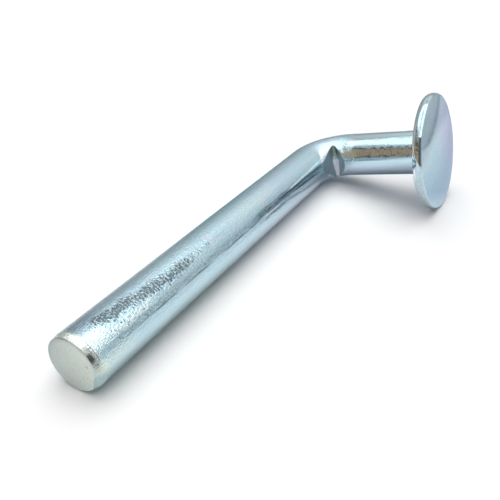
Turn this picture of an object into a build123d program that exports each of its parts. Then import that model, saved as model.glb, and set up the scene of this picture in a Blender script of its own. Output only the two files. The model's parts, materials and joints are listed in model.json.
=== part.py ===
"""Pallet rack drop pin: a round steel bar bent square, with a flat round head on its short arm.

The pin lies as it comes to rest on a level surface: the long leg along X on the surface,
the short neck leaning up towards -Y, and the rim of the head touching the surface.
Millimetres, +Z up, origin at the bottom centre of the resting pin.
"""

import os
from math import asin, atan2, cos, degrees, hypot, radians, sin, tan

from build123d import *

# Bar
BAR_DIAMETER = 7.94          # 5/16 in round bar
LEG_STRAIGHT = 63.0          # end face of the leg to the start of the bend
BEND_RADIUS = 6.75           # to the bar's centreline
BEND_ANGLE = 90
NECK_STRAIGHT = 14.9         # end of the bend to the underside of the head

# Head, upset on the end of the neck
HEAD_DIAMETER = 20.7
HEAD_THICKNESS = 1.65        # straight through at the rim
HEAD_CROWN = 0.6             # rise of the outer face at its centre
HEAD_RIM_RADIUS = 1.4        # rounding of the rim, seen in section
HEAD_EDGE_RADIUS = 0.2       # where the rim turns into the faces
NECK_FILLET = 0.4            # between the neck and the underside of the head

# Cropped end of the leg
TIP_FACE_DIAMETER = 7.46
TIP_FACE_SHIFT = 0.17        # the end face sits off the bar's axis, away from the neck
TIP_EDGE_LENGTH = 0.95       # length of the worn edge along the leg
TIP_EDGE_RADIUS = 0.12       # rounding of the end face's edge
TIP_FLAT_REACH = 3.1         # from the axis to the small flat, on the end face
TIP_FLAT_SLOPE = 29          # degrees between the flat and the leg
TIP_FLAT_TURN = 28           # degrees round the leg from the neck's side, towards the surface

# Mark that the corner of the bending die leaves in the inside of the bend
DIE_BITE = 1.3               # depth into the neck's inner side
DIE_LIFT = 0.29              # height of the die's corner above the leg's inner side
DIE_CORNER_RADIUS = 0.47     # the die is a little blunt at its corner
DIE_SCOOP = 0.18             # depth of the hollow mark in the leg's inner side
DIE_LEG_RUN = 4.0            # length of the mark along the leg
DIE_NECK_RUN = 2.86          # length of the mark along the neck
DIE_TURN = 5                 # degrees the die sat askew, so the mark is deeper towards the surface

# Worked out from the sizes above
bar_radius = BAR_DIAMETER / 2
head_radius = HEAD_DIAMETER / 2
neck_x = LEG_STRAIGHT + BEND_RADIUS
underside_y = BEND_RADIUS + NECK_STRAIGHT
face_y = underside_y + HEAD_THICKNESS

# The rim's section: a wide arc between two small ones that meet the faces
rim_half_turn = asin((HEAD_THICKNESS / 2 - HEAD_EDGE_RADIUS) / (HEAD_RIM_RADIUS - HEAD_EDGE_RADIUS))
rim_centre = head_radius - HEAD_RIM_RADIUS
face_radius = rim_centre + (HEAD_RIM_RADIUS - HEAD_EDGE_RADIUS) * cos(rim_half_turn)
edge_turn = 90 - degrees(rim_half_turn)

# The resting pin leans until the rim meets the surface that the leg lies on
rim_y = underside_y + HEAD_THICKNESS / 2
lean = atan2(rim_centre, rim_y) - asin((bar_radius - HEAD_RIM_RADIUS) / hypot(rim_centre, rim_y))

# How far the pin reaches from the tip of the leg's axis, along X and towards -Y
reach_x = neck_x + head_radius
reach_y = cos(lean) * (face_y - HEAD_EDGE_RADIUS) + sin(lean) * face_radius + HEAD_EDGE_RADIUS

# The bend's own plane: x along the leg from its tip, y towards the head
bend_plane = Plane(
    origin=(-reach_x / 2, (reach_y - bar_radius) / 2, bar_radius),
    x_dir=(1, 0, 0),
    z_dir=(0, -sin(lean), -cos(lean)),
)

with BuildPart() as drop_pin:
    # Round bar along the leg, round the bend and up the neck
    with BuildLine(bend_plane):
        leg = Line((TIP_EDGE_LENGTH, 0), (LEG_STRAIGHT, 0))
        bend = JernArc(start=leg @ 1, tangent=leg % 1, radius=BEND_RADIUS, arc_size=BEND_ANGLE)
        neck = Line(bend @ 1, bend @ 1 + (bend % 1) * NECK_STRAIGHT)
    bar_end = Plane(origin=leg @ 0, x_dir=bend_plane.y_dir, z_dir=leg % 0)
    with BuildSketch(bar_end):
        Circle(bar_radius)
    sweep()

    # Cropped end: its face is a little smaller than the bar and off its axis
    with BuildSketch(bar_end):
        Circle(bar_radius)
    with BuildSketch(bar_end.offset(-TIP_EDGE_LENGTH)):
        with Locations((-TIP_FACE_SHIFT, 0)):
            Circle(TIP_FACE_DIAMETER / 2)
    loft()
    fillet(drop_pin.faces().sort_by(Axis.X)[0].edges(), TIP_EDGE_RADIUS)

    # Small slanting flat across one side of the cropped end
    flat_rise = BAR_DIAMETER - TIP_FLAT_REACH
    flat_run = flat_rise / tan(radians(TIP_FLAT_SLOPE))
    with BuildSketch(bend_plane.rotated((TIP_FLAT_TURN, 0, 0))):
        with BuildLine():
            Polyline((0, TIP_FLAT_REACH), (flat_run, BAR_DIAMETER), (0, BAR_DIAMETER), close=True)
        make_face()
    extrude(amount=BAR_DIAMETER, both=True, mode=Mode.SUBTRACT)

    # Mark of the bending die across the inside of the bend, drawn from the neck's inner side
    die_plane = Plane(
        origin=bend_plane.from_local_coords((neck_x - bar_radius, bar_radius, 0)),
        x_dir=bend_plane.x_dir,
        z_dir=bend_plane.z_dir,
    ).rotated((0, -DIE_TURN, 0))
    with BuildSketch(die_plane) as die_section:
        with BuildLine():
            die_scoop = ThreePointArc(
                (-DIE_LEG_RUN, 0),
                ((DIE_BITE - DIE_LEG_RUN) / 2, -DIE_SCOOP),
                (DIE_BITE, DIE_LIFT),
            )
            Polyline(die_scoop @ 1, (0, DIE_NECK_RUN), (-DIE_LEG_RUN, DIE_NECK_RUN), die_scoop @ 0)
        make_face()
        fillet(die_section.vertices().sort_by(Axis.X)[-1], DIE_CORNER_RADIUS)
    extrude(amount=bar_radius, both=True, mode=Mode.SUBTRACT)

    # Head, turned about the neck's axis
    with BuildSketch(bend_plane):
        with BuildLine():
            axis_line = Line((neck_x, face_y + HEAD_CROWN), (neck_x, underside_y - NECK_FILLET))
            Line(axis_line @ 1, (neck_x + bar_radius, underside_y - NECK_FILLET))
            RadiusArc(
                (neck_x + bar_radius, underside_y - NECK_FILLET),
                (neck_x + bar_radius + NECK_FILLET, underside_y),
                NECK_FILLET,
            )
            underside = Line(
                (neck_x + bar_radius + NECK_FILLET, underside_y),
                (neck_x + face_radius, underside_y),
            )
            lower_edge = JernArc(underside @ 1, underside % 1, HEAD_EDGE_RADIUS, edge_turn)
            rim = JernArc(lower_edge @ 1, lower_edge % 1, HEAD_RIM_RADIUS, 180 - 2 * edge_turn)
            upper_edge = JernArc(rim @ 1, rim % 1, HEAD_EDGE_RADIUS, edge_turn)
            crown_radius = (face_radius**2 + HEAD_CROWN**2) / (2 * HEAD_CROWN)
            RadiusArc(upper_edge @ 1, axis_line @ 0, -crown_radius)
        make_face()
    revolve(axis=Axis(neck @ 0, neck % 0))

drop_pin.part.label = "drop_pin"

os.makedirs("parts", exist_ok=True)
export_step(drop_pin.part, "parts/drop_pin.step")

print("lift of the neck above the surface, degrees:", round(degrees(lean), 2))
print("size:", drop_pin.part.bounding_box().size)
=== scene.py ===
"""A pallet rack drop pin of bright zinc-plated bar, lying on a pale floor under a soft overhead light.

Run as a script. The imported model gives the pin's shape, and this file gives its finish and its studio.
"""

import json
import math
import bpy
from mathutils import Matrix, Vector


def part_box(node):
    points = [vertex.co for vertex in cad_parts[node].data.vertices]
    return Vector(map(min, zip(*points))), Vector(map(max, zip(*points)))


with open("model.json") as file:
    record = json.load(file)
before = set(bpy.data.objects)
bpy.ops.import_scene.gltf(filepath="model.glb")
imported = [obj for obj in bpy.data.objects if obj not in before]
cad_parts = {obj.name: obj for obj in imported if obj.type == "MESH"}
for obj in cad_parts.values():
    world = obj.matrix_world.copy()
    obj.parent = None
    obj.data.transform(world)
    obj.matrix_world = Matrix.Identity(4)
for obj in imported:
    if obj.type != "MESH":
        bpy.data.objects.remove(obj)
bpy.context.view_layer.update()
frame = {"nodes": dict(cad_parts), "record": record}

from types import SimpleNamespace
from typing import NamedTuple

import bpy
from mathutils import Matrix, Vector

bl_info = {
    "name": "Pallet Rack Drop Pin",
    "version": (1, 0, 0),
    "blender": (4, 5, 0),
    "location": "View3D > Sidebar > Drop Pin",
    "description": "Plates a pallet rack drop pin with bright zinc and sets it in a pale studio",
    "category": "Object",
}

PIN = "drop_pin"

# What the frame says of the pin: the leg's axis and radius, and the way that the neck points
MOUNTS = {mount["name"]: mount for mount in frame["record"]["mounts"]}
LEG = MOUNTS["drop_leg"]
BAR_RADIUS = LEG["dims"]["r_mm"]
NECK_WAY = -Vector(MOUNTS["head_underside"]["axis"])
PIN_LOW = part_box(PIN)[0]
MM = 0.001

# Sizes along the bar, in millimetres, measured from the tip as on the drawing
LEG_STRAIGHT = 63.0
BEND_RADIUS = 6.75
UNDERSIDE = 21.65
RIM_TOP = 23.3
DIE_CORNER = (66.9, 4.3, 0.6)
NECK_X = LEG_STRAIGHT + BEND_RADIUS
HEAD_CROWN = 0.6
CROWN_RADIUS = 83.14
# The way that the flattened corner of the die's mark faces
CORNER_FACING = (-0.72, -0.665, 0.20)
# Distances from that corner at which the die's mark is gone and full
DIE_REACH = (5.4, 4.0)
# Where the swell beside the mark starts along the bar at 0 degrees round, and its slant for each degree
SWELL_START = 58.93
SWELL_SLANT = -0.1185
# The middle of the mottled band, in degrees round: at the tip, its climb for each millimetre, and its top
BAND_START = -69.0
BAND_CLIMB = 1.45
BAND_TOP = -45.0
# Degrees round of the painted dark reflection on the cropped end's worn edge, and way along of the thin line
# beside it
EDGE_REFLECTION_ROUND = -22.0
EDGE_LINE_X = 0.97
# Heights up the neck of the painted glint, and of the painted dark reflection line and ladder-like marks, on
# the head's rim
GLINT_Y = 21.98
RIM_REFLECTION_LINE_Y = 22.88
REFLECTED_RUNGS_Y = 22.5

# Colours of the marks in the plating, and of the highlights, reflections and shade painted on it
WHITE = (1.0, 1.0, 1.0)
# Bright specks, and painted highlights and bright reflection lines
SPARKLE_AND_HIGHLIGHT_ZINC = (0.90, 0.98, 1.0)
# Painted highlight at the tip
TIP_HIGHLIGHT_ZINC = (0.80, 0.97, 1.0)
RUBBED_ZINC = (0.74, 1.0, 1.0)
NECK_COOL = (0.44, 0.66, 0.70)
LEG_BLUSH = (0.72, 0.70, 0.74)
LEG_CREAM = (0.68, 0.79, 0.74)
END_CREAM = (0.70, 0.80, 0.70)
END_SHADE = (0.26, 0.36, 0.46)
# Painted shade on the leg's low side
LOW_SIDE_SHADE = (0.36, 0.52, 0.50)
# Black core of the painted dark reflection lines
REFLECTION_LINE_CORE = (0.045, 0.06, 0.075)
# Painted highlight along the corner of the die's mark
CORNER_HIGHLIGHT_PALE = (0.90, 0.92, 1.0)
PEAK_OLIVE = (0.30, 0.33, 0.23)
# Paler worn edge of the cropped end, with a painted highlight
WORN_EDGE_HIGHLIGHT = (0.93, 0.98, 0.88)
# Painted dark reflection on the worn edge, and the thin dark lines beside the edge
EDGE_REFLECTION_AND_LINE_DARK = (0.03, 0.035, 0.05)
# Painted light on one side of the cropped end's face
CROPPED_LIT = (0.79, 0.85, 0.79)
# Painted shade on the rim's low side
RIM_SHADE = (0.40, 0.51, 0.47)
# Tint of what the leg's upper side reflects at a grazing angle
GRAZING_TINT = (0.58, 0.80, 0.82)


class Stroke(NamedTuple):
    """A soft stroke on the bar. Its ends are each a way along, in millimetres, and degrees round.

    Width is in degrees, from its middle to where it has faded out, and soft the share of it that
    is full. Fade is how far its ends fade to each side, in millimetres. A ragged one has rough sides.
    """

    start: tuple
    end: tuple
    width: float
    strength: float = 1.0
    fade: float = 1.5
    soft: float = 0.4
    ragged: bool = False


# Painted dark reflection lines that run along the leg towards the die's mark, where the leg reflects the
# neck and the head, and their black cores
DARK_REFLECTION_STROKES = (
    Stroke((37.0, -18.5), (52.0, -17.5), 10.0, 0.72, soft=0.6, ragged=True),
    Stroke((50.0, -15.8), (62.5, -14.0), 7.5, 0.70, soft=0.6),
    Stroke((38.5, -17.2), (53.0, -17.2), 4.0, 0.97),
    Stroke((51.0, -15.8), (62.0, -13.5), 4.2, 0.95),
    Stroke((39.5, -3.0), (46.5, -3.0), 5.0, 0.70, ragged=True),
    Stroke((50.0, -11.0), (59.5, -5.6), 3.2, 0.85),
    Stroke((48.0, 0.0), (61.0, 21.0), 4.4, 0.60),
)
DARK_REFLECTION_CORES = (
    Stroke((45.0, -18.8), (61.0, -15.4), 2.3, fade=2.0),
    Stroke((50.0, -9.0), (60.0, -3.6), 2.1, fade=2.5),
)
# Painted bright reflection lines beside them, and a painted sheen along the top of the neck
BRIGHT_REFLECTION_STROKES = (
    Stroke((49.0, -21.8), (61.5, -26.2), 3.4),
    Stroke((39.0, -10.4), (47.0, -8.4), 2.8, 0.95),
    Stroke((48.5, -6.5), (61.5, 6.6), 4.4),
    Stroke((81.0, -108.0), (92.0, -108.0), 11.0, 0.8, fade=3.0),
)
# Painted thin dark line along the edge of the scuffed strip, where the leg reflects the horizon
HORIZON_REFLECTION_LINE = (Stroke((8.0, -11.8), (38.0, -11.4), 2.0, 0.8, fade=3.0),)
# Painted highlight beside the mottled band, at the tip
TIP_HIGHLIGHT_PATCH = (
    Stroke((-2.0, -31.5), (11.5, -31.5), 10.0, soft=0.6, ragged=True),
    Stroke((-2.0, -44.0), (3.8, -44.0), 17.0, fade=0.8, soft=0.7, ragged=True),
)
# Soft shade in the mottled band
BAND_SHADE = (
    Stroke((4.0, -62.0), (13.0, -53.0), 13.0, soft=0.3, ragged=True),
    Stroke((11.0, -51.0), (22.0, -45.0), 13.0, fade=3.0, soft=0.3, ragged=True),
    Stroke((20.0, -45.0), (33.0, -43.5), 7.0, 0.5, fade=4.0, ragged=True),
)
# Painted dark reflection lines, broken like grit, along the two edges of the neck's darkest reflected band,
# dashes above it and specks in it
NECK_REFLECTION_EDGES = (
    Stroke((75.0, -35.0), (90.0, -34.5), 3.4, 0.9, ragged=True),
    Stroke((77.0, -12.5), (90.0, -11.5), 4.0, 0.9, ragged=True),
)
NECK_DASHES = (
    Stroke((76.0, -61.5), (90.0, -59.5), 2.2, 0.55),
    Stroke((75.0, -54.0), (83.0, -57.0), 1.6, 0.3, ragged=True),
)
NECK_SPECKS = (Stroke((75.0, -24.0), (89.0, -24.0), 16.0, 0.35, ragged=True),)
# Tinted places
COOL_NECK = (Stroke((76.0, -50.0), (92.0, -50.0), 16.0, 0.7, soft=0.5),)
RUBBED_NECK = (Stroke((71.0, -22.0), (75.8, -22.0), 13.0, 0.9, fade=1.2, soft=0.5, ragged=True),)
CREAMY_LEG = (Stroke((33.0, -54.0), (46.0, -50.0), 26.0, 0.35, fade=5.0, soft=0.2),)
CREAMY_END = (
    Stroke((-2.0, 2.0), (6.0, 6.0), 22.0, 0.425, fade=3.0, soft=0.2),
    Stroke((-2.0, 8.0), (2.2, 10.0), 20.0, 0.85, fade=1.0, soft=0.5, ragged=True),
)
SHADED_END = (Stroke((-2.0, -84.0), (5.0, -80.0), 26.0, 0.55, fade=3.0, ragged=True),)

# Shades of the air from the horizon upwards, and soft bright spots in it: the way to each, in
# degrees from the X axis and above the horizon, the angles where it is full and gone, and its level
AIR_SHADES = (
    (0.0, (0.40, 0.41, 0.42)),
    (0.17, (0.41, 0.42, 0.43)),
    (0.34, (0.44, 0.45, 0.46)),
    (0.45, (0.52, 0.53, 0.54)),
)
AIR_SPOTS = (
    (10, 47, 10, 36, 0.42),
    (-36, 32, 8, 28, 0.16),
    (-62, 52, 17.5, 21.5, 0.70),
)

# How far upright cards stand from a point under the pin, and where that point is, in metres
CARD_REACH = 0.35
CARD_CENTRE_X = 0.03
DARK_CARD = (0.13, 0.12, 0.12)
# Share of its colour that the warm card's top edge has, and the heights where the edge starts and ends
WARM_EDGE = 0.25
WARM_EDGE_HEIGHTS = (0.228, 0.238)
WARM_CARD_HEIGHT = 0.26
# Grey card that lies behind the pin
BACK_CARD_SIZE = (0.40, 0.27)
BACK_CARD_MIDDLE = (0.05, 0.165, 0.0001)


class Card(NamedTuple):
    """A card that lies on the floor, in metres.

    Shades are each a place along Y and a colour, and fade says where the card fades in along X.
    """

    name: str
    size: tuple
    middle: tuple
    shades: tuple
    fade: tuple = None


# Bluer card beside the grey one and nearer to the bend, a dark one under the neck that is a painted shadow
# of the floor's shade there, and three beside the head, of which the side card darkens towards the head as a
# painted shadow
FLOOR_CARDS = (
    Card(
        "blue_card",
        (0.30, 0.020),
        (0.135, 0.027, 0.0002),
        ((0.0, (0.42, 0.52, 0.56)),),
        fade=(-0.015, 0.012),
    ),
    # Painted shadow: a dark card under the neck in place of the floor's shade there
    Card(
        "neck_shadow_card",
        (0.030, 0.024),
        (0.037, 0.0025, 0.0003),
        ((0.0, (0.17, 0.20, 0.21)),),
        fade=(0.0255, 0.030),
    ),
    # Its shades darken towards the head, a painted shadow of the head on the floor
    Card(
        "side_card",
        (0.60, 0.19),
        (0.326, -0.07, 0.0002),
        (
            (-0.060, (0.72, 0.73, 0.75)),
            (-0.048, (0.80, 0.81, 0.83)),
            (-0.040, (0.86, 0.88, 0.90)),
            (-0.027, (0.70, 0.75, 0.83)),
            (-0.018, (0.54, 0.60, 0.70)),
            (-0.012, (0.49, 0.56, 0.69)),
        ),
        fade=(0.024, 0.038),
    ),
    Card(
        "middle_card",
        (0.30, 0.19),
        (0.245, -0.07, 0.0003),
        (
            (-0.072, (0.54, 0.60, 0.65)),
            (-0.060, (0.58, 0.63, 0.68)),
            (-0.045, (0.63, 0.68, 0.74)),
            (-0.035, (0.59, 0.64, 0.71)),
            (-0.020, (0.47, 0.52, 0.61)),
        ),
        fade=(0.092, 0.125),
    ),
    Card(
        "far_card",
        (0.45, 0.55),
        (0.325, -0.33, 0.0004),
        (
            (-0.25, (0.64, 0.62, 0.63)),
            (-0.13, (0.59, 0.59, 0.61)),
            (-0.075, (0.55, 0.55, 0.58)),
            (-0.062, (0.42, 0.43, 0.46)),
            (-0.055, (0.26, 0.265, 0.29)),
        ),
    ),
)

# The inputs and the output of a Mix node, for each kind of value that it mixes
MIX_SOCKETS = {"VECTOR": (4, 5, 1), "RGBA": (6, 7, 2)}


def place(tree, kind, inputs=None, **settings):
    """A new node with its settings, and its inputs linked or set by name or number."""
    node = tree.nodes.new(kind)
    for name, value in settings.items():
        setattr(node, name, value)
    for name, value in (inputs or {}).items():
        if isinstance(value, bpy.types.NodeSocket):
            tree.links.new(value, node.inputs[name])
        else:
            node.inputs[name].default_value = value
    return node


def work(tree, operation, *values, clamp=False):
    """The result of a Math node."""
    node = place(tree, "ShaderNodeMath", dict(enumerate(values)), operation=operation, use_clamp=clamp)
    return node.outputs[0]


def vector_work(tree, operation, *values):
    """The result of a Vector Math node."""
    node = place(tree, "ShaderNodeVectorMath", dict(enumerate(values)), operation=operation)
    return node.outputs["Value" if operation in ("DISTANCE", "DOT_PRODUCT") else "Vector"]


def vector(tree, x, y, z):
    """A vector from its three parts."""
    return place(tree, "ShaderNodeCombineXYZ", {"X": x, "Y": y, "Z": z}).outputs[0]


def step(tree, value, low, high, to_low=0.0, to_high=1.0):
    """A smooth step of a value between two limits."""
    node = place(
        tree,
        "ShaderNodeMapRange",
        {"Value": value, "From Min": low, "From Max": high, "To Min": to_low, "To Max": to_high},
        interpolation_type="SMOOTHSTEP",
    )
    return node.outputs["Result"]


def mix(tree, kind, factor, first, second, blend_type="MIX"):
    """A colour or a vector mixed from two."""
    low, high, mixed = MIX_SOCKETS[kind]
    inputs = {0: factor, low: first, high: second}
    node = place(tree, "ShaderNodeMix", inputs, data_type=kind, blend_type=blend_type)
    return node.outputs[mixed]


def blend(tree, factor, first, second):
    """A colour mixed from two, each a socket or three numbers."""
    both = [
        colour if isinstance(colour, bpy.types.NodeSocket) else (*colour[:3], 1.0)
        for colour in (first, second)
    ]
    return mix(tree, "RGBA", factor, *both)


def tint(tree, colour, paint, *masks):
    """A colour with another laid over it where all the masks allow it."""
    return blend(tree, overlap(tree, *masks), colour, paint)


def ramp(tree, value, stops):
    """A colour that changes with a value, through stops that each have a value and a colour."""
    node = place(tree, "ShaderNodeValToRGB", {"Fac": value})
    shades = node.color_ramp.elements
    while len(shades) < len(stops):
        shades.new(1.0)
    for shade, (position, colour) in zip(shades, stops):
        shade.position = position
        shade.color = (*colour, 1.0)
    return node.outputs["Color"]


def cloud(tree, where, scale, detail=2.0, roughness=0.5):
    """A noise pattern's grey value."""
    inputs = {"Vector": where, "Scale": scale, "Detail": detail, "Roughness": roughness}
    return place(tree, "ShaderNodeTexNoise", inputs).outputs["Fac"]


def unite(tree, *masks):
    """The larger of some masks."""
    result = masks[0]
    for mask in masks[1:]:
        result = work(tree, "MAXIMUM", result, mask)
    return result


def overlap(tree, *masks):
    """The product of some masks."""
    result = masks[0]
    for mask in masks[1:]:
        result = work(tree, "MULTIPLY", result, mask)
    return result


def opposite(tree, mask):
    """A mask turned round."""
    return work(tree, "SUBTRACT", 1.0, mask)


def apart(tree, value, other):
    """How far two values are apart."""
    return work(tree, "ABSOLUTE", work(tree, "SUBTRACT", value, other))


def swayed(tree, value, pattern, amount):
    """A value moved up and down by a noise pattern."""
    return work(tree, "MULTIPLY_ADD", work(tree, "SUBTRACT", pattern, 0.5), amount, value)


def strokes(tree, at, table, *masks):
    """The larger of some strokes, each at its own strength, where all the masks allow it."""
    drawn = []
    for mark in table:
        slope = (mark.end[1] - mark.start[1]) / (mark.end[0] - mark.start[0])
        middle = work(tree, "MULTIPLY_ADD", at.along, slope, mark.start[1] - slope * mark.start[0])
        off = apart(tree, at.ragged_round if mark.ragged else at.round, middle)
        drawn.append(
            overlap(
                tree,
                step(tree, off, mark.width, mark.soft * mark.width),
                step(tree, at.along, mark.start[0] - mark.fade, mark.start[0] + mark.fade),
                step(tree, at.along, mark.end[0] + mark.fade, mark.end[0] - mark.fade),
                mark.strength,
            )
        )
    return overlap(tree, unite(tree, *drawn), *masks)


class PinFinish(bpy.types.PropertyGroup):
    """Colours and grain of the zinc plating."""

    blue: bpy.props.FloatVectorProperty(
        name="Plate Blue",
        description="Pale blue of most of the plating",
        subtype="COLOR",
        default=(0.53, 0.74, 0.83),
        min=0.0,
        max=1.0,
    )
    lilac: bpy.props.FloatVectorProperty(
        name="Plate Lilac",
        description="Lilac tint in the plating",
        subtype="COLOR",
        default=(0.62, 0.66, 0.84),
        min=0.0,
        max=1.0,
    )
    pale: bpy.props.FloatVectorProperty(
        name="Plate Pale",
        description="Paler plating on the neck and the rim of the head",
        subtype="COLOR",
        default=(0.58, 0.71, 0.75),
        min=0.0,
        max=1.0,
    )
    cream: bpy.props.FloatVectorProperty(
        name="Cropped Cream",
        description="Duller cream of the cropped end",
        subtype="COLOR",
        default=(0.60, 0.66, 0.63),
        min=0.0,
        max=1.0,
    )
    # Also the colour of the painted dark reflection lines on the leg, the neck and the rim
    dark: bpy.props.FloatVectorProperty(
        name="Speck Dark",
        description="Dark specks in the mottled band",
        subtype="COLOR",
        default=(0.12, 0.17, 0.19),
        min=0.0,
        max=1.0,
    )
    dull: bpy.props.FloatVectorProperty(
        name="Pressed Grey",
        description="Duller grey in the mark of the bending die",
        subtype="COLOR",
        default=(0.28, 0.37, 0.40),
        min=0.0,
        max=1.0,
    )
    grain: bpy.props.FloatProperty(
        name="Grain Height",
        description="Height of the grain in the plating",
        subtype="DISTANCE",
        unit="LENGTH",
        default=0.00006,
        min=0.0,
        precision=6,
    )
    gloss: bpy.props.FloatProperty(
        name="Plate Roughness",
        description="Roughness of the clean plating",
        subtype="FACTOR",
        default=0.20,
        min=0.0,
        max=1.0,
    )


class StudioSetup(bpy.types.PropertyGroup):
    """Floor, light and camera."""

    floor_size: bpy.props.FloatProperty(
        name="Floor Size",
        description="Side of the square floor",
        unit="LENGTH",
        default=8.0,
        min=1.0,
    )
    floor_colour: bpy.props.FloatVectorProperty(
        name="Floor Colour",
        description="Colour of the floor",
        subtype="COLOR",
        default=(0.97, 0.97, 0.97),
        min=0.0,
        max=1.0,
    )
    lamp_height: bpy.props.FloatProperty(
        name="Lamp Height",
        description="Height of the overhead lamp above the floor",
        unit="LENGTH",
        default=3.0,
        min=0.5,
    )
    lamp_spread: bpy.props.FloatProperty(
        name="Lamp Spread",
        description="Angle between the lamp's middle and its edge, seen from the pin",
        subtype="ANGLE",
        default=math.radians(38.5),
    )
    lamp_lean: bpy.props.FloatProperty(
        name="Lamp Lean",
        description="How far the lamp's middle stands off the zenith, seen from the pin",
        subtype="ANGLE",
        default=math.radians(7.5),
    )
    lamp_side: bpy.props.FloatProperty(
        name="Lamp Side",
        description="Direction in which the lamp stands off the zenith, from the X axis",
        subtype="ANGLE",
        default=math.radians(135),
    )
    lamp_level: bpy.props.FloatProperty(
        name="Lamp Brightness",
        description="Brightness that the lamp adds to the air behind it, where 1 is white",
        default=1.2,
        min=0.0,
    )
    floor_lamp_spread: bpy.props.FloatProperty(
        name="Floor Lamp Spread",
        description="Angle between the floor lamp's middle and its edge, seen from the pin",
        subtype="ANGLE",
        default=math.radians(30),
    )
    floor_lamp_lean: bpy.props.FloatProperty(
        name="Floor Lamp Lean",
        description="How far the floor lamp stands off the zenith, seen from the pin",
        subtype="ANGLE",
        default=math.radians(24),
    )
    floor_lamp_side: bpy.props.FloatProperty(
        name="Floor Lamp Side",
        description="Direction in which the floor lamp stands off the zenith, from the X axis",
        subtype="ANGLE",
        default=math.radians(28),
    )
    floor_lamp_level: bpy.props.FloatProperty(
        name="Floor Lamp Brightness",
        description="Brightness of the floor lamp",
        default=1.60,
        min=0.0,
    )
    fill_level: bpy.props.FloatProperty(
        name="Fill Light",
        description="Light that the air adds to the floor, where 1 is white",
        default=0.25,
        min=0.0,
    )
    warm_colour: bpy.props.FloatVectorProperty(
        name="Warm Card Colour",
        description="Colour of the upright card that the neck reflects",
        subtype="COLOR",
        default=(0.45, 0.31, 0.22),
        min=0.0,
        max=1.0,
    )
    grey_level: bpy.props.FloatProperty(
        name="Grey Card Level",
        description="Brightness of the grey card that lies behind the pin",
        subtype="FACTOR",
        default=0.42,
        min=0.0,
        max=1.0,
    )
    camera_place: bpy.props.FloatVectorProperty(
        name="Camera Place",
        description="Where the camera stands",
        subtype="TRANSLATION",
        unit="LENGTH",
        default=(-0.073943, -0.031584, 0.053241),
    )
    camera_heading: bpy.props.FloatProperty(
        name="Camera Heading",
        description="Direction that the camera looks in, from the X axis",
        subtype="ANGLE",
        default=math.radians(29.2928),
    )
    camera_dip: bpy.props.FloatProperty(
        name="Camera Dip",
        description="How far the camera looks down",
        subtype="ANGLE",
        default=math.radians(33.0927),
    )
    camera_roll: bpy.props.FloatProperty(
        name="Camera Roll",
        description="How far the camera is turned about its own line of sight",
        subtype="ANGLE",
        default=math.radians(1.4207),
    )
    camera_lens: bpy.props.FloatProperty(
        name="Camera Lens",
        description="Focal length of the lens, in millimetres",
        unit="CAMERA",
        default=42.91,
        min=1.0,
    )


def tip_place():
    """Where the leg's axis meets its end face."""
    return (PIN_LOW.x, LEG["pos_m"][1], LEG["pos_m"][2])


def hypotenuse(tree, first, second):
    """The length of the longest side of a right triangle."""
    squares = (work(tree, "MULTIPLY", side, side) for side in (first, second))
    return work(tree, "SQRT", work(tree, "ADD", *squares))


def bar_places(tree):
    """Places on the pin, in millimetres, on nodes that read Object coordinates.

    x runs along the leg from its tip, y up the neck, z across the plane of the bend. Along is the way
    along the bar's axis, out the place across the bar in the plane of the bend, and round the angle
    about the axis in degrees, from the side that faces the neck.
    """
    coordinates = place(tree, "ShaderNodeTexCoord").outputs["Object"]
    drawn = place(
        tree,
        "ShaderNodeMapping",
        {
            "Vector": coordinates,
            "Location": tip_place(),
            "Rotation": (math.atan2(NECK_WAY.z, NECK_WAY.y), 0.0, 0.0),
            "Scale": (MM, MM, MM),
        },
        vector_type="TEXTURE",
    ).outputs["Vector"]
    parts = place(tree, "ShaderNodeSeparateXYZ", {"Vector": drawn}).outputs
    x, y, z = parts["X"], parts["Y"], parts["Z"]

    # The nearest point of the bar's axis, from the centre of the bend
    right = work(tree, "MAXIMUM", work(tree, "SUBTRACT", x, LEG_STRAIGHT), 0.0)
    down = work(tree, "MAXIMUM", work(tree, "SUBTRACT", BEND_RADIUS, y), 0.0)
    out = work(tree, "SUBTRACT", hypotenuse(tree, right, down), BEND_RADIUS)
    turned = work(tree, "MULTIPLY", work(tree, "ARCTAN2", right, down), BEND_RADIUS)
    up = work(tree, "MAXIMUM", work(tree, "SUBTRACT", y, BEND_RADIUS), 0.0)
    straight = work(tree, "ADD", work(tree, "MINIMUM", x, LEG_STRAIGHT), up)
    inward = work(tree, "MULTIPLY", out, -1.0)
    return SimpleNamespace(
        object=coordinates,
        drawn=drawn,
        x=x,
        y=y,
        z=z,
        along=work(tree, "ADD", straight, turned),
        out=out,
        round=work(tree, "MULTIPLY", work(tree, "ARCTAN2", z, inward), 180 / math.pi),
        radius=hypotenuse(tree, out, z),
    )


def plate_patterns(tree, at):
    """Noise in the plating, stretched along the bar or across it, with the places for more of it."""
    drawn_out = vector(tree, work(tree, "MULTIPLY", at.along, 0.12), at.out, at.z)
    grained = vector(tree, work(tree, "MULTIPLY", at.along, 0.45), at.out, at.z)
    across = vector(
        tree, at.along, work(tree, "MULTIPLY", at.out, 0.5), work(tree, "MULTIPLY", at.z, 0.5)
    )
    return SimpleNamespace(
        drawn_out=drawn_out,
        grained=grained,
        ragged=cloud(tree, grained, 0.9, detail=4.0, roughness=0.7),
        streaky=cloud(tree, drawn_out, 5.0, detail=3.0, roughness=0.6),
        streaks=cloud(tree, drawn_out, 0.55, detail=4.0, roughness=0.6),
        specks=cloud(tree, across, 5.5, roughness=0.65),
        sparkles=cloud(tree, across, 4.5, roughness=0.6),
    )


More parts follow.
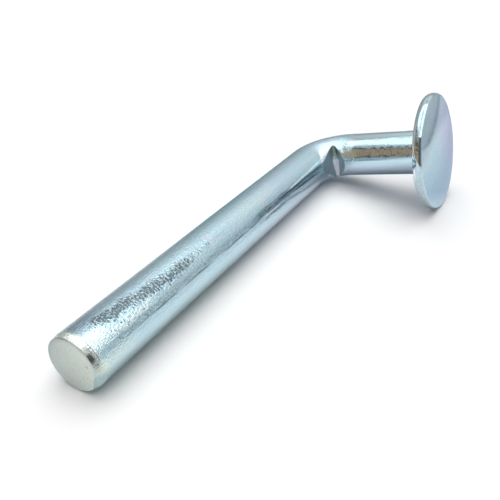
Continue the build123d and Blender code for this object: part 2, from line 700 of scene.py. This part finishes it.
def plate_areas(tree, at, noise):
    """Masks of the places where the finish changes."""
    face = step(tree, at.y, RIM_TOP - 0.2, RIM_TOP)
    head = unite(
        tree,
        step(tree, at.radius, BAR_RADIUS + 0.3, BAR_RADIUS + 0.8),
        step(tree, at.y, UNDERSIDE - 0.3, UNDERSIDE),
    )
    off_face = opposite(tree, face)
    rim = overlap(tree, step(tree, at.y, UNDERSIDE + 0.08, UNDERSIDE + 0.2), off_face)

    # The mark of the bending die, the swell beside it, and its blunt corner with what lies above
    near_die = step(tree, vector_work(tree, "DISTANCE", at.drawn, DIE_CORNER), *DIE_REACH)
    in_die = overlap(tree, near_die, step(tree, at.radius, BAR_RADIUS - 0.03, BAR_RADIUS - 0.12))
    swell_edge = work(tree, "MULTIPLY_ADD", at.ragged_round, SWELL_SLANT, SWELL_START)
    past_edge = work(tree, "SUBTRACT", at.along, swell_edge)
    swell = overlap(
        tree,
        step(tree, work(tree, "MULTIPLY_ADD", noise.ragged, 2.6, past_edge), 1.0, 1.6),
        step(tree, at.ragged_round, -17.0, -21.0),
        step(tree, at.round, -51.0, -44.0),
        step(tree, at.along, 71.0, 68.0),
        opposite(tree, in_die),
    )
    in_plane = vector_work(tree, "MULTIPLY", at.drawn, (1.0, 1.0, 0.0))
    off_corner = vector_work(tree, "DISTANCE", in_plane, (*DIE_CORNER[:2], 0.0))
    narrowing = work(tree, "MULTIPLY_ADD", work(tree, "MAXIMUM", at.z, 0.0), 0.16, off_corner)
    corner = overlap(
        tree,
        step(tree, narrowing, 0.92, 0.62),
        in_die,
        step(tree, swayed(tree, at.z, noise.specks, 3.4), -0.75, -0.35),
    )
    peak = overlap(tree, in_die, step(tree, at.z, -0.2, -1.7), step(tree, off_corner, 1.9, 0.8))
    pits = overlap(
        tree,
        in_die,
        step(tree, off_corner, 1.4, 0.7),
        step(tree, apart(tree, at.z, -0.65), 0.55, 0.25),
        step(tree, noise.sparkles, 0.56, 0.44),
    )

    # Mottled band that runs up from the tip, and a scuffed strip beside it that ends sharply
    climbing = work(tree, "MULTIPLY_ADD", at.along, BAND_CLIMB, BAND_START)
    band_middle = work(tree, "MINIMUM", climbing, BAND_TOP)
    off_band = swayed(tree, apart(tree, at.round, band_middle), noise.ragged, 20.0)
    off_band = work(tree, "MULTIPLY_ADD", step(tree, at.along, 16.0, 27.0), 7.0, off_band)
    band = overlap(
        tree,
        step(tree, off_band, 19.0, 3.0),
        step(tree, at.along, 1.5, 4.5),
        step(tree, at.along, 31.0, 19.0),
    )
    strip = overlap(
        tree,
        step(tree, at.round, -10.4, -12.0),
        step(tree, at.round, -28.0, -20.0),
        step(tree, at.along, 1.0, 6.0),
        step(tree, at.along, 40.0, 36.0),
    )
    return SimpleNamespace(
        face=face,
        off_face=off_face,
        head=head,
        off_head=opposite(tree, head),
        rim=rim,
        low_rim=overlap(tree, rim, step(tree, at.z, -1.0, 2.0)),
        neck=step(tree, at.y, 5.0, 9.0, 0.0, 0.75),
        tip=step(tree, at.x, 0.10, 0.02),
        tip_edge=step(tree, at.x, 1.5, 0.7),
        near_die=near_die,
        in_die=in_die,
        swell=swell,
        corner=corner,
        peak=peak,
        pits=pits,
        band=band,
        tip_highlight=strokes(tree, at, TIP_HIGHLIGHT_PATCH),
        strip=strip,
        dark_reflection_strokes=strokes(tree, at, DARK_REFLECTION_STROKES),
    )


def plate_tints(tree, at, noise, area, finish):
    """The plating's colour: pale blue with lilac, cool, cream and shaded places, with painted shade on the
    leg's low side.
    """
    pale = overlap(tree, area.neck, area.off_face, step(tree, at.round, 2.0, -20.0))
    colour = blend(tree, pale, finish.blue, finish.pale)
    colour = tint(tree, colour, NECK_COOL, strokes(tree, at, COOL_NECK), area.off_head)

    # Lilac shows along the underside of the leg near the bend, and on one side of the head's face
    under = overlap(tree, step(tree, at.round, 0.0, 25.0), step(tree, at.along, 24.0, 45.0))
    patches = step(tree, cloud(tree, at.drawn, 0.11), 0.5, 0.72)
    lilac = work(tree, "MULTIPLY_ADD", under, 0.5, overlap(tree, patches, 0.25))
    tint_edge = work(tree, "MULTIPLY_ADD", work(tree, "MAXIMUM", at.z, -2.0), -0.95, -0.9)
    face_side = overlap(
        tree,
        step(tree, work(tree, "ADD", at.x, tint_edge), NECK_X - 2.5, NECK_X + 2.5),
        area.face,
        step(tree, at.z, -9.0, -6.0),
    )
    lilac = work(tree, "ADD", overlap(tree, lilac, area.off_face), face_side, clamp=True)
    colour = blend(tree, lilac, colour, finish.lilac)

    blush = step(tree, cloud(tree, at.drawn, 0.20), 0.64, 0.76)
    on_leg = opposite(tree, unite(tree, area.head, area.neck))
    colour = tint(tree, colour, LEG_BLUSH, blush, on_leg, 0.4)
    colour = tint(tree, colour, RUBBED_ZINC, strokes(tree, at, RUBBED_NECK))
    colour = tint(tree, colour, LEG_CREAM, strokes(tree, at, CREAMY_LEG))
    colour = tint(tree, colour, END_CREAM, strokes(tree, at, CREAMY_END))
    # Painted shade on the leg's low side towards the tip, where it reflects the floor's shadow beside the
    # leg
    low_side = overlap(tree, step(tree, at.round, 8.0, 36.0), step(tree, at.along, 50.0, 20.0))
    colour = tint(tree, colour, LOW_SIDE_SHADE, low_side, 0.6)
    colour = tint(tree, colour, END_SHADE, strokes(tree, at, SHADED_END))
    return tint(tree, colour, WHITE, step(tree, noise.streaks, 0.35, 0.7), 0.12)


def leg_and_neck_marks(tree, colour, at, noise, area, finish):
    """Colour with the painted highlight at the tip, the scuffs, the mottled band, and the painted reflection
    lines and highlights.
    """
    # Painted highlight beside the mottled band at the tip
    colour = tint(tree, colour, TIP_HIGHLIGHT_ZINC, area.tip_highlight, 0.8)
    scuffed = step(tree, noise.streaky, 0.62, 0.38, 0.04, 0.42)
    colour = tint(tree, colour, finish.dull, area.strip, scuffed)
    shaded = strokes(tree, at, BAND_SHADE, step(tree, noise.streaky, 0.70, 0.40, 0.55, 1.0))
    colour = tint(tree, colour, finish.dull, shaded, 0.42)

    # Dark specks, most of them in the band and largest in its core
    speckled = unite(
        tree,
        area.band,
        overlap(tree, area.tip_highlight, 0.16),
        overlap(tree, area.strip, 0.12),
        strokes(tree, at, NECK_SPECKS, area.off_head),
    )
    band_core = overlap(tree, step(tree, at.along, 2.5, 5.0), step(tree, at.along, 26.0, 17.0))
    speckled = overlap(tree, speckled, work(tree, "MULTIPLY_ADD", band_core, 0.12, 0.11))
    dark_specks = overlap(
        tree,
        step(tree, work(tree, "SUBTRACT", noise.specks, speckled), 0.39, 0.31),
        step(tree, speckled, 0.0, 0.03),
    )
    # Painted dark reflection lines on the leg near the bend
    leg_reflection_lines = overlap(
        tree,
        area.dark_reflection_strokes,
        step(tree, noise.streaky, 0.66, 0.42, 0.62, 1.0),
        step(tree, noise.sparkles, 0.64, 0.48, 0.55, 1.0),
    )
    broken = step(tree, cloud(tree, noise.drawn_out, 1.6), 0.36, 0.52)
    grit = cloud(tree, noise.grained, 2.6, detail=3.0, roughness=0.7)
    # Painted dark reflection lines along the edges of the neck's brown reflection, and dashes above it
    neck_lines = unite(
        tree,
        strokes(tree, at, NECK_REFLECTION_EDGES, step(tree, grit, 0.53, 0.43)),
        strokes(tree, at, NECK_DASHES, step(tree, noise.streaky, 0.60, 0.44)),
    )
    dark = unite(
        tree,
        dark_specks,
        leg_reflection_lines,
        # Painted dark line where the leg reflects the horizon
        strokes(tree, at, HORIZON_REFLECTION_LINE, broken),
        overlap(tree, neck_lines, area.off_head),
    )
    colour = blend(tree, dark, colour, finish.dark)
    # Black cores of the painted dark reflection lines
    reflection_cores = strokes(tree, at, DARK_REFLECTION_CORES, step(tree, noise.streaky, 0.70, 0.46, 0.55, 0.9))
    colour = blend(tree, reflection_cores, colour, REFLECTION_LINE_CORE)

    bright_specks = overlap(
        tree, step(tree, noise.sparkles, 0.59, 0.68), step(tree, area.band, 0.0, 0.4), 0.75
    )
    # Bright specks in the band, and painted highlights: the bright reflection lines, the sheen on the neck
    # and the swell beside the die's mark
    bright = unite(
        tree,
        bright_specks,
        strokes(tree, at, BRIGHT_REFLECTION_STROKES, area.off_head),
        overlap(tree, area.swell, 0.85),
    )
    return blend(tree, bright, colour, SPARKLE_AND_HIGHLIGHT_ZINC)


def die_colour(tree, colour, at, noise, area, finish):
    """Colour with the mark of the bending die: duller, with a painted highlight along its corner, and pitted
    above it.
    """
    on_neck = step(tree, at.x, DIE_CORNER[0] - 0.3, DIE_CORNER[0] + 0.1)
    colour = tint(
        tree, colour, finish.dull, area.in_die, work(tree, "MULTIPLY_ADD", on_neck, 0.4, 0.35)
    )
    # Painted highlight along the die mark's flattened corner
    colour = blend(tree, area.corner, colour, CORNER_HIGHLIGHT_PALE)
    colour = tint(tree, colour, PEAK_OLIVE, area.peak, 0.65)
    more_at_peak = work(tree, "MULTIPLY_ADD", area.peak, 0.6, 0.4)
    specks = step(tree, noise.specks, 0.50, 0.38)
    colour = tint(tree, colour, finish.dark, specks, area.in_die, more_at_peak, 0.7)
    return tint(tree, colour, finish.dark, area.pits, 0.8)


def cropped_end_colour(tree, colour, at, area, finish):
    """Colour with the cropped end: its pale worn edge with a painted highlight along its top and a painted
    dark reflection on one side, and its dull cream face, painted lighter towards one side.
    """
    # The worn edge is paler all round, and a painted highlight makes it palest along its top
    worn = step(tree, at.round, 10.0, -20.0, 0.15, 0.85)
    colour = tint(tree, colour, WORN_EDGE_HIGHLIGHT, area.tip_edge, worn)
    # Painted dark reflection on the worn edge, and thin dark lines along both sides of the edge
    off_edge_reflection = apart(tree, at.round, EDGE_REFLECTION_ROUND)
    dark = unite(
        tree,
        overlap(tree, step(tree, off_edge_reflection, 23.0, 2.0), step(tree, at.x, 0.95, 0.35), 0.95),
        overlap(tree, step(tree, off_edge_reflection, 42.0, 12.0), step(tree, at.x, 1.0, 0.6), 0.5),
        overlap(
            tree,
            step(tree, at.x, 0.20, 0.12),
            step(tree, at.round, -112.0, -90.0),
            step(tree, at.round, 6.0, -12.0),
            0.55,
        ),
        overlap(
            tree,
            step(tree, apart(tree, at.x, EDGE_LINE_X), 0.12, 0.04),
            step(tree, at.round, -60.0, -45.0),
            step(tree, at.round, 2.0, -12.0),
            0.5,
        ),
    )
    colour = blend(tree, dark, colour, EDGE_REFLECTION_AND_LINE_DARK)
    cream = tuple(0.95 * part for part in finish.cream)
    # The face is painted lighter towards one side
    end = blend(tree, step(tree, at.y, -3.5, 3.5), cream, CROPPED_LIT)
    end = tint(tree, end, finish.dull, step(tree, cloud(tree, at.drawn, 2.2), 0.36, 0.31), 0.5)
    end_rim = overlap(tree, step(tree, at.radius, 3.1, 3.7), step(tree, at.z, 1.5, -1.5))
    end = tint(tree, end, finish.dull, end_rim, 0.35)
    return blend(tree, area.tip, colour, end)


def rim_colour(tree, colour, at, noise, area, finish):
    """Colour with the head's rim: speckled, with painted shade on its low side, a painted glint, and painted
    dark reflection marks where it is brightest.
    """
    specks = step(tree, noise.specks, 0.43, 0.33)
    colour = tint(tree, colour, finish.dark, area.rim, step(tree, at.z, 2.0, -2.0), specks, 0.7)
    # Painted shade, speckled, on the rim's low side
    speckled_shade = step(tree, noise.specks, 0.38, 0.54, 0.9, 0.3)
    colour = tint(tree, colour, RIM_SHADE, area.low_rim, speckled_shade)
    # Glint along the rim's edge by the underside
    colour = tint(
        tree,
        colour,
        WHITE,
        area.head,
        step(tree, apart(tree, at.y, GLINT_Y), 0.16, 0.07),
        step(tree, at.z, -8.0, -6.0),
        step(tree, at.z, 2.0, 0.5),
        step(tree, at.x, NECK_X - 4.0, NECK_X - 6.0),
        0.9,
    )
    # Painted dark reflection marks in the rim's highlight: a thin line round the rim, and ladder-like short
    # marks across it
    rim_reflection_line = overlap(
        tree,
        step(tree, apart(tree, at.y, RIM_REFLECTION_LINE_Y), 0.11, 0.05),
        step(tree, work(tree, "MULTIPLY_ADD", noise.ragged, 2.0, at.z), 1.0, -1.0),
        step(tree, at.x, NECK_X - 1.0, NECK_X - 3.0),
        step(tree, noise.streaky, 0.66, 0.46),
    )
    crossed = vector_work(tree, "MULTIPLY", at.drawn, (0.8, 0.5, 1.0))
    reflected_rungs = overlap(
        tree,
        step(tree, cloud(tree, crossed, 2.6, detail=3.0, roughness=0.7), 0.54, 0.47),
        step(tree, apart(tree, at.y, REFLECTED_RUNGS_Y), 0.38, 0.24),
        step(tree, at.z, -7.4, -6.4),
        step(tree, at.z, -2.6, -3.6),
        step(tree, at.x, NECK_X - 3.0, NECK_X - 5.0),
    )
    return tint(tree, colour, finish.dark, unite(tree, rim_reflection_line, reflected_rungs), 0.75)


def plate_colour(tree, at, noise, area, finish):
    """The whole colour of the plating, with a fine grain."""
    colour = plate_tints(tree, at, noise, area, finish)
    colour = leg_and_neck_marks(tree, colour, at, noise, area, finish)
    colour = die_colour(tree, colour, at, noise, area, finish)
    colour = cropped_end_colour(tree, colour, at, area, finish)
    colour = rim_colour(tree, colour, at, noise, area, finish)
    fleck = step(tree, cloud(tree, at.drawn, 7.0, detail=3.0, roughness=0.7), 0.35, 0.65)
    flecked = unite(tree, step(tree, at.round, -5.0, 12.0), area.tip, area.head)
    return tint(
        tree, colour, finish.dull, fleck, work(tree, "MULTIPLY_ADD", flecked, 0.24, 0.12)
    )


def plate_height(tree, at, noise, area):
    """Height of the grain in the plating, in steps of the finish's grain height."""
    fine = overlap(tree, cloud(tree, noise.grained, 5.0, roughness=0.6), 1.5)
    draw_lines = overlap(tree, cloud(tree, noise.drawn_out, 3.0), 0.35)
    smooth = overlap(
        tree,
        work(tree, "MULTIPLY_ADD", area.neck, -1.1, 1.0),
        work(tree, "MULTIPLY_ADD", area.head, -0.8, 1.0),
    )
    height = overlap(tree, work(tree, "ADD", fine, draw_lines), smooth)
    dents = cloud(tree, at.drawn, 1.5, roughness=0.6)
    for pattern, mask, amount in (
        (noise.specks, area.band, 0.9),
        (noise.specks, area.in_die, 2.0),
        (dents, area.near_die, 2.0),
        (noise.specks, area.low_rim, 0.7),
        (noise.specks, area.dark_reflection_strokes, 0.8),
    ):
        height = work(tree, "MULTIPLY_ADD", overlap(tree, pattern, mask), amount, height)
    return height


def plate_slope(tree, at, area):
    """The slope that the grain lies on: the surface's own, but for the swell, the corner and the face."""
    # The swell beside the die's mark leans towards the light, and the mark's corner is flattened
    leaning = vector(tree, overlap(tree, area.swell, -0.42), 0.0, 0.0)
    surface = place(tree, "ShaderNodeNewGeometry").outputs["Normal"]
    leant = vector_work(tree, "NORMALIZE", vector_work(tree, "ADD", leaning, surface))
    leant = mix(tree, "VECTOR", overlap(tree, area.corner, 0.9), leant, CORNER_FACING)
    # The head's face is part of a ball, so its true slope is known everywhere
    on_leg = Vector((NECK_X, 0.0, 0.0))
    ball = Vector(tip_place()) + MM * (on_leg + (RIM_TOP + HEAD_CROWN - CROWN_RADIUS) * NECK_WAY)
    from_ball = vector_work(tree, "SUBTRACT", at.object, tuple(ball))
    on_face = work(tree, "GREATER_THAN", at.y, RIM_TOP + 0.004)
    return mix(tree, "VECTOR", on_face, leant, vector_work(tree, "NORMALIZE", from_ball))


def plate_roughness(tree, at, noise, area, finish):
    """Roughness of the plating: smoother on the neck and the head, rougher where it is marked."""
    rough = work(tree, "MULTIPLY_ADD", noise.streaks, 0.08, finish.gloss - 0.05)
    for mask, change in (
        (step(tree, at.along, 56.0, 64.0), -0.04),
        (area.neck, -0.07),
        (area.band, 0.08),
        (area.in_die, 0.15),
        (area.tip, 0.28),
        (area.head, -0.04),
        (area.tip_edge, 0.04),
    ):
        rough = work(tree, "MULTIPLY_ADD", mask, change, rough, clamp=True)
    return rough


def zinc_plate(finish):
    """Bright zinc plating in pale blue with lilac and cream tints, and a fine grain drawn along the bar."""
    material = bpy.data.materials.new("zinc_plated_steel")
    material.use_nodes = True
    tree = material.node_tree
    tree.nodes.clear()
    at = bar_places(tree)
    noise = plate_patterns(tree, at)
    # Degrees round that sway up and down, for marks with rough sides
    at.ragged_round = swayed(tree, at.round, noise.ragged, 14.0)
    area = plate_areas(tree, at, noise)

    bump = place(
        tree,
        "ShaderNodeBump",
        {
            "Height": plate_height(tree, at, noise, area),
            "Strength": 1.0,
            "Distance": finish.grain,
            "Normal": plate_slope(tree, at, area),
        },
    )
    grazed = overlap(
        tree,
        step(tree, at.along, 12.0, 34.0),
        step(tree, at.along, 72.0, 60.0),
        step(tree, at.round, -85.0, -105.0),
    )
    shader = place(
        tree,
        "ShaderNodeBsdfPrincipled",
        {
            "Base Color": plate_colour(tree, at, noise, area, finish),
            "Roughness": plate_roughness(tree, at, noise, area, finish),
            "Metallic": 1.0,
            "Specular Tint": blend(tree, grazed, WHITE, GRAZING_TINT),
            "Normal": bump.outputs["Normal"],
        },
    )
    place(tree, "ShaderNodeOutputMaterial", {"Surface": shader.outputs[0]})
    return material


def floor_paint(colour):
    """Matt pale paint of the floor, with a trace of unevenness."""
    material = bpy.data.materials.new("pale_floor")
    material.use_nodes = True
    tree = material.node_tree
    shader = tree.nodes["Principled BSDF"]
    shader.inputs["Roughness"].default_value = 1.0
    shader.inputs["Specular IOR Level"].default_value = 0.0
    coordinates = place(tree, "ShaderNodeTexCoord")
    uneven = cloud(tree, coordinates.outputs["Object"], 3.0)
    darker = tuple(0.99 * part for part in colour)
    tree.links.new(blend(tree, uneven, darker, colour), shader.inputs["Base Color"])
    return material


def card_paint(name, shades, axis="Y", fade=None):
    """Plain paint of a card: one shade, or shades at places along an axis. It can fade in along X."""
    material = bpy.data.materials.new(name)
    material.use_nodes = True
    tree = material.node_tree
    tree.nodes.clear()
    where = place(tree, "ShaderNodeTexCoord").outputs["Object"]
    parts = place(tree, "ShaderNodeSeparateXYZ", {"Vector": where}).outputs
    low, high = shades[0][0], shades[-1][0]
    if high > low:
        inputs = {"Value": parts[axis], "From Min": low, "From Max": high}
        share = place(tree, "ShaderNodeMapRange", inputs).outputs["Result"]
        stops = [((position - low) / (high - low), colour) for position, colour in shades]
        colour = ramp(tree, share, stops)
    else:
        colour = (*shades[0][1], 1.0)
    surface = place(tree, "ShaderNodeEmission", {"Color": colour, "Strength": 1.0}).outputs[0]
    if fade:
        clear = place(tree, "ShaderNodeBsdfTransparent").outputs[0]
        inputs = {0: step(tree, parts["X"], *fade), 1: clear, 2: surface}
        surface = place(tree, "ShaderNodeMixShader", inputs).outputs[0]
    place(tree, "ShaderNodeOutputMaterial", {"Surface": surface})
    return material


def reflected_card(name, size, location, rotation, material):
    """A card that shows only in the metal, as a photographer's card outside the picture does."""
    bpy.ops.mesh.primitive_plane_add(size=1)
    card = bpy.context.active_object
    card.name = name
    card.scale = (*size, 1.0)
    card.rotation_euler = rotation
    card.location = location
    bpy.ops.object.transform_apply(location=True, rotation=True, scale=True)
    card.data.materials.append(material)
    card.visible_camera = False
    card.visible_diffuse = False
    card.visible_transmission = False
    card.visible_shadow = False


def standing_card(name, heading, width, height, shades):
    """An upright card to one side of the pin, facing it, with its shades along its height."""
    way = math.radians(heading)
    location = (
        CARD_CENTRE_X + CARD_REACH * math.cos(way),
        CARD_REACH * math.sin(way),
        height / 2,
    )
    rotation = (math.pi / 2, 0.0, way - math.pi / 2)
    reflected_card(name, (width, height), location, rotation, card_paint(name, shades, "Z"))


def lying_card(card):
    """A card that lies on the floor."""
    paint = card_paint(card.name, card.shades, fade=card.fade)
    reflected_card(card.name, card.size, card.middle, (0.0, 0.0, 0.0), paint)


def off_zenith(lean, side):
    """The way up that leans to one side."""
    flat = math.sin(lean)
    return Vector((flat * math.cos(side), flat * math.sin(side), math.cos(lean)))


def round_lamp(name, location, radius, level):
    """A round lamp that looks down, as bright as the level says, where 1 is white."""
    bpy.ops.object.light_add(type="AREA", location=location)
    lamp = bpy.context.active_object
    lamp.name = name
    lamp.data.shape = "DISK"
    lamp.data.size = 2 * radius
    lamp.data.energy = level * (math.pi * radius) ** 2
    return lamp


def studio_air(fill):
    """Air that the metal shows, grey near the horizon and paler higher up, and a weak fill light."""
    world = bpy.data.worlds.new("studio_air")
    world.use_nodes = True
    tree = world.node_tree
    tree.nodes.clear()
    way = place(tree, "ShaderNodeTexCoord").outputs["Generated"]
    rise = place(tree, "ShaderNodeSeparateXYZ", {"Vector": way}).outputs["Z"]
    light = ramp(tree, rise, AIR_SHADES)
    for azimuth, elevation, inner, outer, level in AIR_SPOTS:
        centre = off_zenith(math.radians(90 - elevation), math.radians(azimuth))
        near = vector_work(tree, "DOT_PRODUCT", way, tuple(centre))
        edge, core = math.cos(math.radians(outer)), math.cos(math.radians(inner))
        spot = step(tree, near, edge, core, 0.0, level)
        light = mix(tree, "RGBA", 1.0, light, spot, blend_type="ADD")
    path = place(tree, "ShaderNodeLightPath").outputs
    seen = work(tree, "ADD", path["Is Camera Ray"], path["Is Glossy Ray"])
    seen = work(tree, "ADD", seen, path["Is Transmission Ray"], clamp=True)
    light = blend(tree, seen, (fill, fill, fill), light)
    glow = place(tree, "ShaderNodeBackground", {"Color": light, "Strength": 1.0})
    place(tree, "ShaderNodeOutputWorld", {"Surface": glow.outputs[0]})
    return world


class DROPPIN_OT_plate_pin(bpy.types.Operator):
    """Give the pin its bright zinc plating"""

    bl_idname = "droppin.plate_pin"
    bl_label = "Plate the Pin"

    def execute(self, context):
        pin = frame["nodes"][PIN]
        pin.material_slots[0].material = zinc_plate(context.scene.pin_finish)
        return {"FINISHED"}


class DROPPIN_OT_set_studio(bpy.types.Operator):
    """Set up the floor, the light and the camera"""

    bl_idname = "droppin.set_studio"
    bl_label = "Set up the Studio"

    def execute(self, context):
        setup = context.scene.pin_studio
        bpy.ops.object.select_all(action="DESELECT")

        bpy.ops.mesh.primitive_plane_add(size=setup.floor_size)
        floor = context.active_object
        floor.name = "pale_floor"
        floor.data.materials.append(floor_paint(setup.floor_colour))

        self.add_lamps(setup)
        self.add_cards(setup)
        context.scene.world = studio_air(setup.fill_level)

        bpy.ops.object.camera_add()
        camera = context.active_object
        camera.name = "camera"
        camera.data.lens = setup.camera_lens
        camera.data.clip_start = 0.001
        camera.matrix_world = (
            Matrix.Translation(setup.camera_place)
            @ Matrix.Rotation(setup.camera_heading - math.pi / 2, 4, "Z")
            @ Matrix.Rotation(math.pi / 2 - setup.camera_dip, 4, "X")
            @ Matrix.Rotation(setup.camera_roll, 4, "Z")
        )
        context.scene.camera = camera
        context.scene.view_settings.view_transform = "Standard"
        return {"FINISHED"}

    def add_lamps(self, setup):
        """The overhead lamp, and a second from a little behind the pin that the metal doesn't show."""
        way_up = off_zenith(setup.lamp_lean, setup.lamp_side)
        radius = setup.lamp_height * math.tan(setup.lamp_spread)
        location = setup.lamp_height / way_up.z * way_up
        lamp = round_lamp("overhead_lamp", location, radius, setup.lamp_level)

        way_up = off_zenith(setup.floor_lamp_lean, setup.floor_lamp_side)
        radius = setup.lamp_height * math.tan(setup.floor_lamp_spread)
        location = setup.lamp_height * way_up
        floor_lamp = round_lamp("floor_lamp", location, radius, setup.floor_lamp_level)
        floor_lamp.rotation_euler = way_up.to_track_quat("Z", "Y").to_euler()
        floor_lamp.visible_glossy = False

    def add_cards(self, setup):
        """The cards that the metal shows: three upright ones, and those that lie on the floor."""
        # Warm card behind the camera's left shoulder, with a dark top edge, and a dark one beside it
        warm = tuple(setup.warm_colour)
        edge = tuple(WARM_EDGE * part for part in warm)
        start, end = WARM_EDGE_HEIGHTS
        shades = ((0.0, warm), (start, warm), (end, edge), (WARM_CARD_HEIGHT, edge))
        standing_card("warm_card", heading=160, width=0.45, height=WARM_CARD_HEIGHT, shades=shades)
        standing_card("dark_card", heading=205, width=0.11, height=0.42, shades=((0.0, DARK_CARD),))
        # Low white one on the near side, where the floor meets the air
        standing_card("low_card", heading=-45, width=0.80, height=0.015, shades=((0.0, WHITE),))

        grey = (setup.grey_level,) * 3
        lying_card(Card("back_card", BACK_CARD_SIZE, BACK_CARD_MIDDLE, ((0.0, grey),)))
        for card in FLOOR_CARDS:
            lying_card(card)


class DROPPIN_PT_panel(bpy.types.Panel):
    """Drop pin panel in the 3D view's sidebar"""

    bl_label = "Drop Pin"
    bl_idname = "DROPPIN_PT_panel"
    bl_space_type = "VIEW_3D"
    bl_region_type = "UI"
    bl_category = "Drop Pin"

    def draw(self, context):
        layout = self.layout
        for title, group, operator in (
            ("Plating", context.scene.pin_finish, DROPPIN_OT_plate_pin),
            ("Studio", context.scene.pin_studio, DROPPIN_OT_set_studio),
        ):
            box = layout.box()
            box.label(text=title)
            for name in group.__annotations__:
                box.prop(group, name)
            box.operator(operator.bl_idname)


CLASSES = (
    PinFinish,
    StudioSetup,
    DROPPIN_OT_plate_pin,
    DROPPIN_OT_set_studio,
    DROPPIN_PT_panel,
)


def register():
    for item in CLASSES:
        bpy.utils.register_class(item)
    bpy.types.Scene.pin_finish = bpy.props.PointerProperty(type=PinFinish)
    bpy.types.Scene.pin_studio = bpy.props.PointerProperty(type=StudioSetup)


def unregister():
    del bpy.types.Scene.pin_studio
    del bpy.types.Scene.pin_finish
    for item in reversed(CLASSES):
        bpy.utils.unregister_class(item)


def main():
    """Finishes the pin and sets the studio."""
    register()
    bpy.ops.droppin.plate_pin()
    bpy.ops.droppin.set_studio()


if __name__ == "__main__":
    main()
